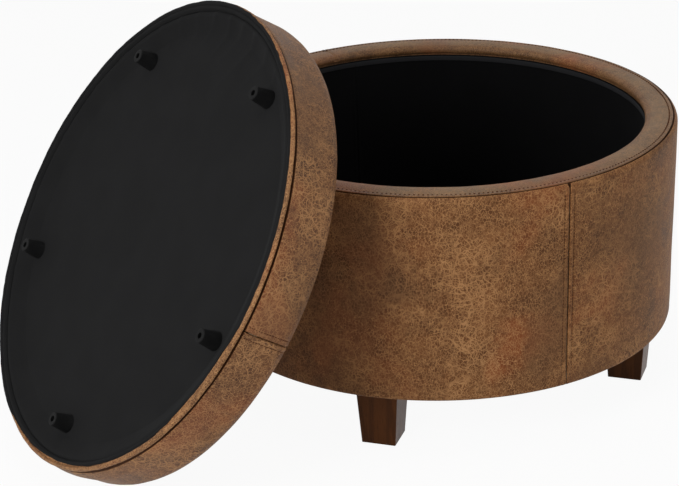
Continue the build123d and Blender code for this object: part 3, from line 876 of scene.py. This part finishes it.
def wall_panel(name, start, finish, stands_for, seed):
    """Half of the wall leather: from the rim seam down the wall and round under the bottom edge."""
    lap = math.degrees(0.6 * mm / wall_out)
    low_r = wall_out - TAPER
    profile = even([round_at(SEAM_AT - 1, 3.0 * mm), round_at(SEAM_AT - 3, 1.5 * mm)]
                   + arc(round_r, round_z, ROUND - 0.2 * mm, SEAM_AT - 8, 0, 5)
                   + arc(low_r - 3 * mm, wall_low + 2.0 * mm, 3 * mm, 0, -90, 4)
                   + [(wall_in + 0.5 * mm, wall_low + 0.2 * mm)], 4.5 * mm)
    piece = spun(name, profile, steps=320, start=start - lap, sweep=180 + 2 * lap)
    crowd(piece, start - lap, 180 + 2 * lap)

    def shape(co, n):
        along = math.radians(min(apart(turn_of(co), edge) for edge in (start, start + 180))) * wall_out
        upright = part_of(co.z, wall_low + 6 * mm, wall_low + 26 * mm)
        pucker = 0.25 * mm * bell(along, 9 * mm) * math.sin(co.z * 520 + 3 * waver(co, 30, 1.0))
        wave = (waver(co, 6, 0.7 * mm, seed) + waver(co, 19, 0.3 * mm, seed + 2)) * upright
        return outward(co) * ((crease(along) + pucker) * (0.3 + 0.7 * upright) + wave + 0.2 * mm)

    # faces on the rounding, tucked under the rim's seam, take the painted seam shade
    mark(piece, lambda co: co.z > round_z and under_round(co) < ROUND - 0.7 * mm)
    move_points(piece, shape)
    apply(piece, "SOLIDIFY", thickness=LEATHER_THICK, offset=-1.0)
    # faces down in the upright seam take the painted seam shade
    mark(piece, lambda co: abs(co.x) < 2 * mm and abs(co.y) < wall_out - 1.5 * mm - wall_at(co.z))
    settle(piece, "drum", finish, stands_for, others=(seam_shade_leather,))


def rim_top_painted_sheen(finish, middle, half):
    """Keeps the rim leather's pale, greyish tones on its flat top as a painted sheen, and makes its two
    shoulders browner.
    """
    tree = finish.node_tree
    skin = next(node for node in tree.nodes if node.type == "GROUP")
    from_axis = vectors(tree, "SUBTRACT", on_the_object(tree), DRUM.translation)
    from_axis = vectors(tree, "MULTIPLY", from_axis, (1.0, 1.0, 0.0))
    radius = put(tree, "VectorMath", {0: from_axis}, operation="LENGTH").outputs["Value"]
    aside = sums(tree, "ABSOLUTE", sums(tree, "SUBTRACT", radius, middle))
    # share of the painted sheen: 1 on the flat top, 0 on the two shoulders
    sheen_share = remap(tree, aside, half - 3 * mm, half + 2 * mm, 1.0, 0.0)
    for name, brown in (("Light", (0.125, 0.056, 0.019, 1)), ("Middle", (0.088, 0.037, 0.012, 1))):
        pale = tuple(skin.inputs[name].default_value)
        tree.links.new(blended(tree, sheen_share, brown, pale), skin.inputs[name])


def drum_rim():
    """Foam ring under leather: rounded outside, flat-topped, bulging over the mouth and curled under."""
    bulge = 7 * mm
    inner_r, inner_z = rim_in + bulge, rim_top - bulge
    channel_z = rim_top - 0.75 * mm
    # paints the sheen: pale greyish tones on the rim's flat top, browner shoulders
    rim_top_painted_sheen(leather_rim, (round_r + inner_r) / 2, (round_r - inner_r) / 2)
    profile = even([round_at(SEAM_AT, 3.0 * mm), round_at(SEAM_AT + 2, 1.5 * mm)]
                   + arc(round_r, round_z, ROUND - 0.3 * mm, SEAM_AT + 6, 90, 3)
                   + [(round_r - 0.9 * mm, rim_top - 0.35 * mm), (round_r - 1.5 * mm, channel_z),
                      (round_r - 2.7 * mm, channel_z), (round_r - 3.5 * mm, rim_top - 0.3 * mm),
                      (inner_r, rim_top - 0.5 * mm)]
                   + arc(inner_r, inner_z, bulge - 0.5 * mm, 90, 215, 10)[1:]
                   + [(ring_in - 0.4 * mm, ring_top - 2.4 * mm), (ring_in + 0.6 * mm, ring_top + 0.3 * mm),
                      (hoop_out - 1.0 * mm, ring_top + 0.3 * mm), (hoop_out + 0.4 * mm, ring_top + 3.5 * mm)],
                   3.2 * mm)
    piece = spun("drum_rim", profile, steps=440, start=RIM_SEAM, shut=True)
    inflate(piece, lambda co: co.z < ring_top + 1.0 * mm or (
        co.z < rim_top - 0.5 * mm and radius_of(co) > round_r - 3.0 * mm), cap=1.2 * mm)
    apply(piece, "SUBSURF", levels=1, render_levels=1)

    def shape(co, n):
        if co.z <= ring_top + 2 * mm:
            return Vector((0, 0, 0))
        along = math.radians(apart(turn_of(co), RIM_SEAM)) * rim_in
        seam = -1.5 * mm * bell(along, 1.5 * mm)
        return n * (waver(co, 13, 0.5 * mm, 3.0) + waver(co, 40, 0.2 * mm, 1.0) + seam)

    # faces on the outer rounding next to the seam take the painted seam shade
    mark(piece, lambda co: radius_of(co) > round_r and co.z > round_z and under_round(co) < ROUND - 0.8 * mm)
    move_points(piece, shape)
    settle(piece, "drum", leather_rim, ("rim_cover", "rim_padding"),
           others=(seam_shade_leather,))


def rim_flap():
    """The rim leather's inner edge, tucked down behind the top of the lining."""
    radius = ring_in - 0.5 * mm
    piece = spun("rim_flap", even([(radius, ring_top - 2.2 * mm), (radius, flap_low + 0.3 * mm)], 3 * mm))
    move_points(piece, lambda co, n: outward(co) * waver(co, 30, 0.15 * mm, 2.0))
    apply(piece, "SOLIDIFY", thickness=0.8 * mm, offset=0.0)
    settle(piece, "drum", leather_rim)


def wall_wadding():
    """Wadding wrapped round the hardboard under the leather."""
    head_z, foot_z = round_z - 2 * mm, wall_low + 6 * mm
    in_r, out_r = hoop_out + 0.4 * mm, wall_out - 3.4 * mm
    profile = even([(out_r, head_z), (out_r - TAPER, foot_z), (in_r, foot_z), (in_r, head_z)], 18 * mm)
    piece = spun("wall_wadding", profile, steps=160, shut=True)
    settle(piece, "drum", wadding, ("wall_padding",), sharp=40)


def lining():
    """Black cloth wall inside, its folded hem at the top, sewn with one upright seam."""
    seam = 84.0
    profile = even([(lining_in + 0.4 * mm, lining_high), (lining_in + 0.4 * mm, lining_low)], 6 * mm)
    piece = spun("lining_cloth", profile, steps=320, start=seam)
    crowd(piece, seam, 360)

    def beside(co, radius):
        return math.radians(apart(turn_of(co), seam)) * radius

    def shape(co, n):
        near = beside(co, lining_in)
        level = (co.z - lining_low) / (lining_high - lining_low)
        wave = 0.35 * mm * noise.noise(Vector((co.x * 30, co.y * 30, co.z * 5)))
        ridge = 0.9 * mm * bell(near - 3 * mm, 2.0 * mm) - 0.8 * mm * bell(near, 1.0 * mm)
        return -outward(co) * (abs(wave) * (1 - level ** 4) + ridge * (1 - level ** 8))

    move_points(piece, shape)
    apply(piece, "SOLIDIFY", thickness=0.5 * mm, offset=0.0)
    # the lining cloth's extra darkness is painted shade for the inside of the drum
    settle(piece, "drum", lining_cloth, ("lining_wall",))
    head, foot = hem_high - 2.4 * mm, hem_high - 8.4 * mm
    hem_profile = [(hem_out - 0.1 * mm, foot), (hem_in + 0.25 * mm, foot - 0.2 * mm),
                   (hem_in, foot + 0.8 * mm), (hem_in + 0.05 * mm, (foot + head) / 2),
                   (hem_in + 0.1 * mm, head - 0.9 * mm), (hem_in + 0.6 * mm, head)]
    hem = spun("lining_top_hem", even(hem_profile, 1.5 * mm), steps=360, start=seam)
    crowd(hem, seam, 360)
    move_points(hem, lambda co, n: outward(co) * (
        waver(co, 60, 0.2 * mm, 5.0) + 1.0 * mm * bell(beside(co, hem_in), 1.0 * mm)))
    apply(hem, "SOLIDIFY", thickness=CLOTH_THICK, offset=0.0)
    settle(hem, "drum", hem_cloth, ("lining_hem",))


def flat_cloth(name, radius, level, stands_for, down, pull):
    """A disc of cloth lying on a board, or stapled under one."""
    piece = spun(name, even([(0.0, level), (radius, level)], 9 * mm), steps=200)
    sign = -1 if down else 1
    move_points(piece, lambda co, n: Vector((0, 0, sign * abs(waver(co, 14, pull, radius * 20)))))
    apply(piece, "SOLIDIFY", thickness=CLOTH_THICK, offset=0.0)
    # the floor inside takes the lining cloth, whose darker tint is partly painted shade
    settle(piece, "drum", black_cloth if down else lining_cloth, stands_for)


def wall_spots(turn):
    """Stitches up the wall, from its foot to the rim's rounding."""
    foot, spacing = wall_low + 8 * mm, 4.2 * mm
    levels = [foot + spacing * step for step in range(int((round_z - foot) / spacing))]
    return [(polar(wall_out - 0.25 * mm - wall_at(z), turn, z), UP, polar(1, turn, 0))
            for z in levels]


def rim_stitches():
    """A row along the rim's top beside its seam, each stitch a little aslant."""
    radius, spacing, aslant = round_r - 2.1 * mm, 5.4 * mm, 0.5
    count = round(2 * math.pi * radius / spacing)
    turns = [360 * step / count for step in range(count)]
    spots = [(polar(radius, turn, rim_top - 0.35 * mm), polar(1, turn + 90 + aslant, 0), UP)
             for turn in turns]
    stitch_row("rim_stitches", spots, "drum", length=4.0 * mm, thickness=1.8 * mm)


wall_wadding()
wall_panel("wall_leather_right", -WALL_SEAM, leather, ("wall_panel_right",), 2.0)
wall_panel("wall_leather_left", WALL_SEAM, leather_second, ("wall_panel_left",), 7.0)
drum_rim()
rim_flap()
lining()
rim_stitches()
beside_seams("wall_stitches", (-WALL_SEAM, WALL_SEAM), wall_out, wall_spots, "drum")
flat_cloth("floor_lining", cloth_out - 0.3 * mm, cloth_low + 0.3 * mm,
           ("floor_cloth",), down=False, pull=0.4 * mm)
flat_cloth("underside_dust_cloth", dust_out, dust_high - 0.3 * mm,
           ("dust_cover",), down=True, pull=0.2 * mm)

# ---- CAD pieces that keep their shape

FINISHES = {"plywood": plywood, "hardboard": hardboard, "foam": wadding, "black_cloth": black_cloth,
            "hem_cloth": hem_cloth, "dark_wood": dark_wood, "zinc_steel": steel, "guide_rubber": rubber,
            "leather_skin": leather}
for node, owner in frame["nodes"].items():
    for place in owner.material_slots:
        if place.material:
            place.material = FINISHES[place.material.name.split(".")[0]]

# ---- floor and light

clear()
bpy.ops.mesh.primitive_grid_add(x_subdivisions=8, y_subdivisions=8, size=14, location=(0, 0, 0))
floor = bpy.context.object
floor.name = "floor"
floor.data.transform(Matrix.Translation((0, 0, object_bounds()[0].z)))
WHITE = (1, 1, 1, 1)
GLOW_SHARE = 0.94  # how much of the floor's look is white of its own
AMBIENT = 0.135


def seen_directly(tree):
    """1 for what is looked at, straight or in a mirror or glass; 0 for light that falls on things."""
    path = put(tree, "LightPath").outputs
    mirrored = sums(tree, "MAXIMUM", path["Is Glossy Ray"], path["Is Transmission Ray"])
    return sums(tree, "MAXIMUM", path["Is Camera Ray"], mirrored)


paper = bpy.data.materials.new("pale_floor")
paper.use_nodes = True
tree = paper.node_tree
tree.nodes.remove(tree.nodes["Principled BSDF"])
soft = put(tree, "BsdfDiffuse", {"Color": (0.88, 0.88, 0.88, 1)}).outputs[0]
glow = put(tree, "Emission", {"Color": WHITE, "Strength": 1.0}).outputs[0]
shown = put(tree, "MixShader", {0: GLOW_SHARE, 1: soft, 2: glow}).outputs[0]
both = put(tree, "MixShader", {0: seen_directly(tree), 1: soft, 2: shown}).outputs[0]
tree.links.new(both, tree.nodes["Material Output"].inputs["Surface"])
floor.data.materials.append(paper)

world = bpy.data.worlds.new("studio")
scene.world = world
world.use_nodes = True
tree = world.node_tree
seen = put(tree, "Background", {"Color": WHITE, "Strength": 1.0}).outputs[0]
ambient = put(tree, "Background", {"Color": WHITE, "Strength": AMBIENT}).outputs[0]
both = put(tree, "MixShader", {0: seen_directly(tree), 1: ambient, 2: seen}).outputs[0]
tree.links.new(both, tree.nodes["World Output"].inputs["Surface"])


def softbox(name, place, aim, width, height, power):
    """A rectangular lamp in watts, turned towards aim."""
    lamp = bpy.data.lights.new(name, "AREA")
    lamp.shape, lamp.size, lamp.size_y, lamp.energy = "RECTANGLE", width, height, power
    made = bpy.data.objects.new(name, lamp)
    made.location = place
    made.rotation_euler = (Vector(aim) - Vector(place)).to_track_quat("-Z", "Y").to_euler()
    scene.collection.objects.link(made)


def around(turn, distance, height):
    """A place round the object: degrees from the camera's side (left of it is less than 0), metres off."""
    back = math.atan2(camera.location.y, camera.location.x) + math.radians(turn)
    return distance * math.cos(back), distance * math.sin(back), height


softbox("key", around(-34, 2.9, 1.9), (0.0, 0, 0.2), 1.3, 1.3, 62)
softbox("fill", around(62, 2.6, 1.3), (0.1, 0, 0.2), 1.4, 1.2, 12)
softbox("top", (0.3, 0.3, 2.8), (0.1, 0, 0.2), 2.4, 2.4, 18)
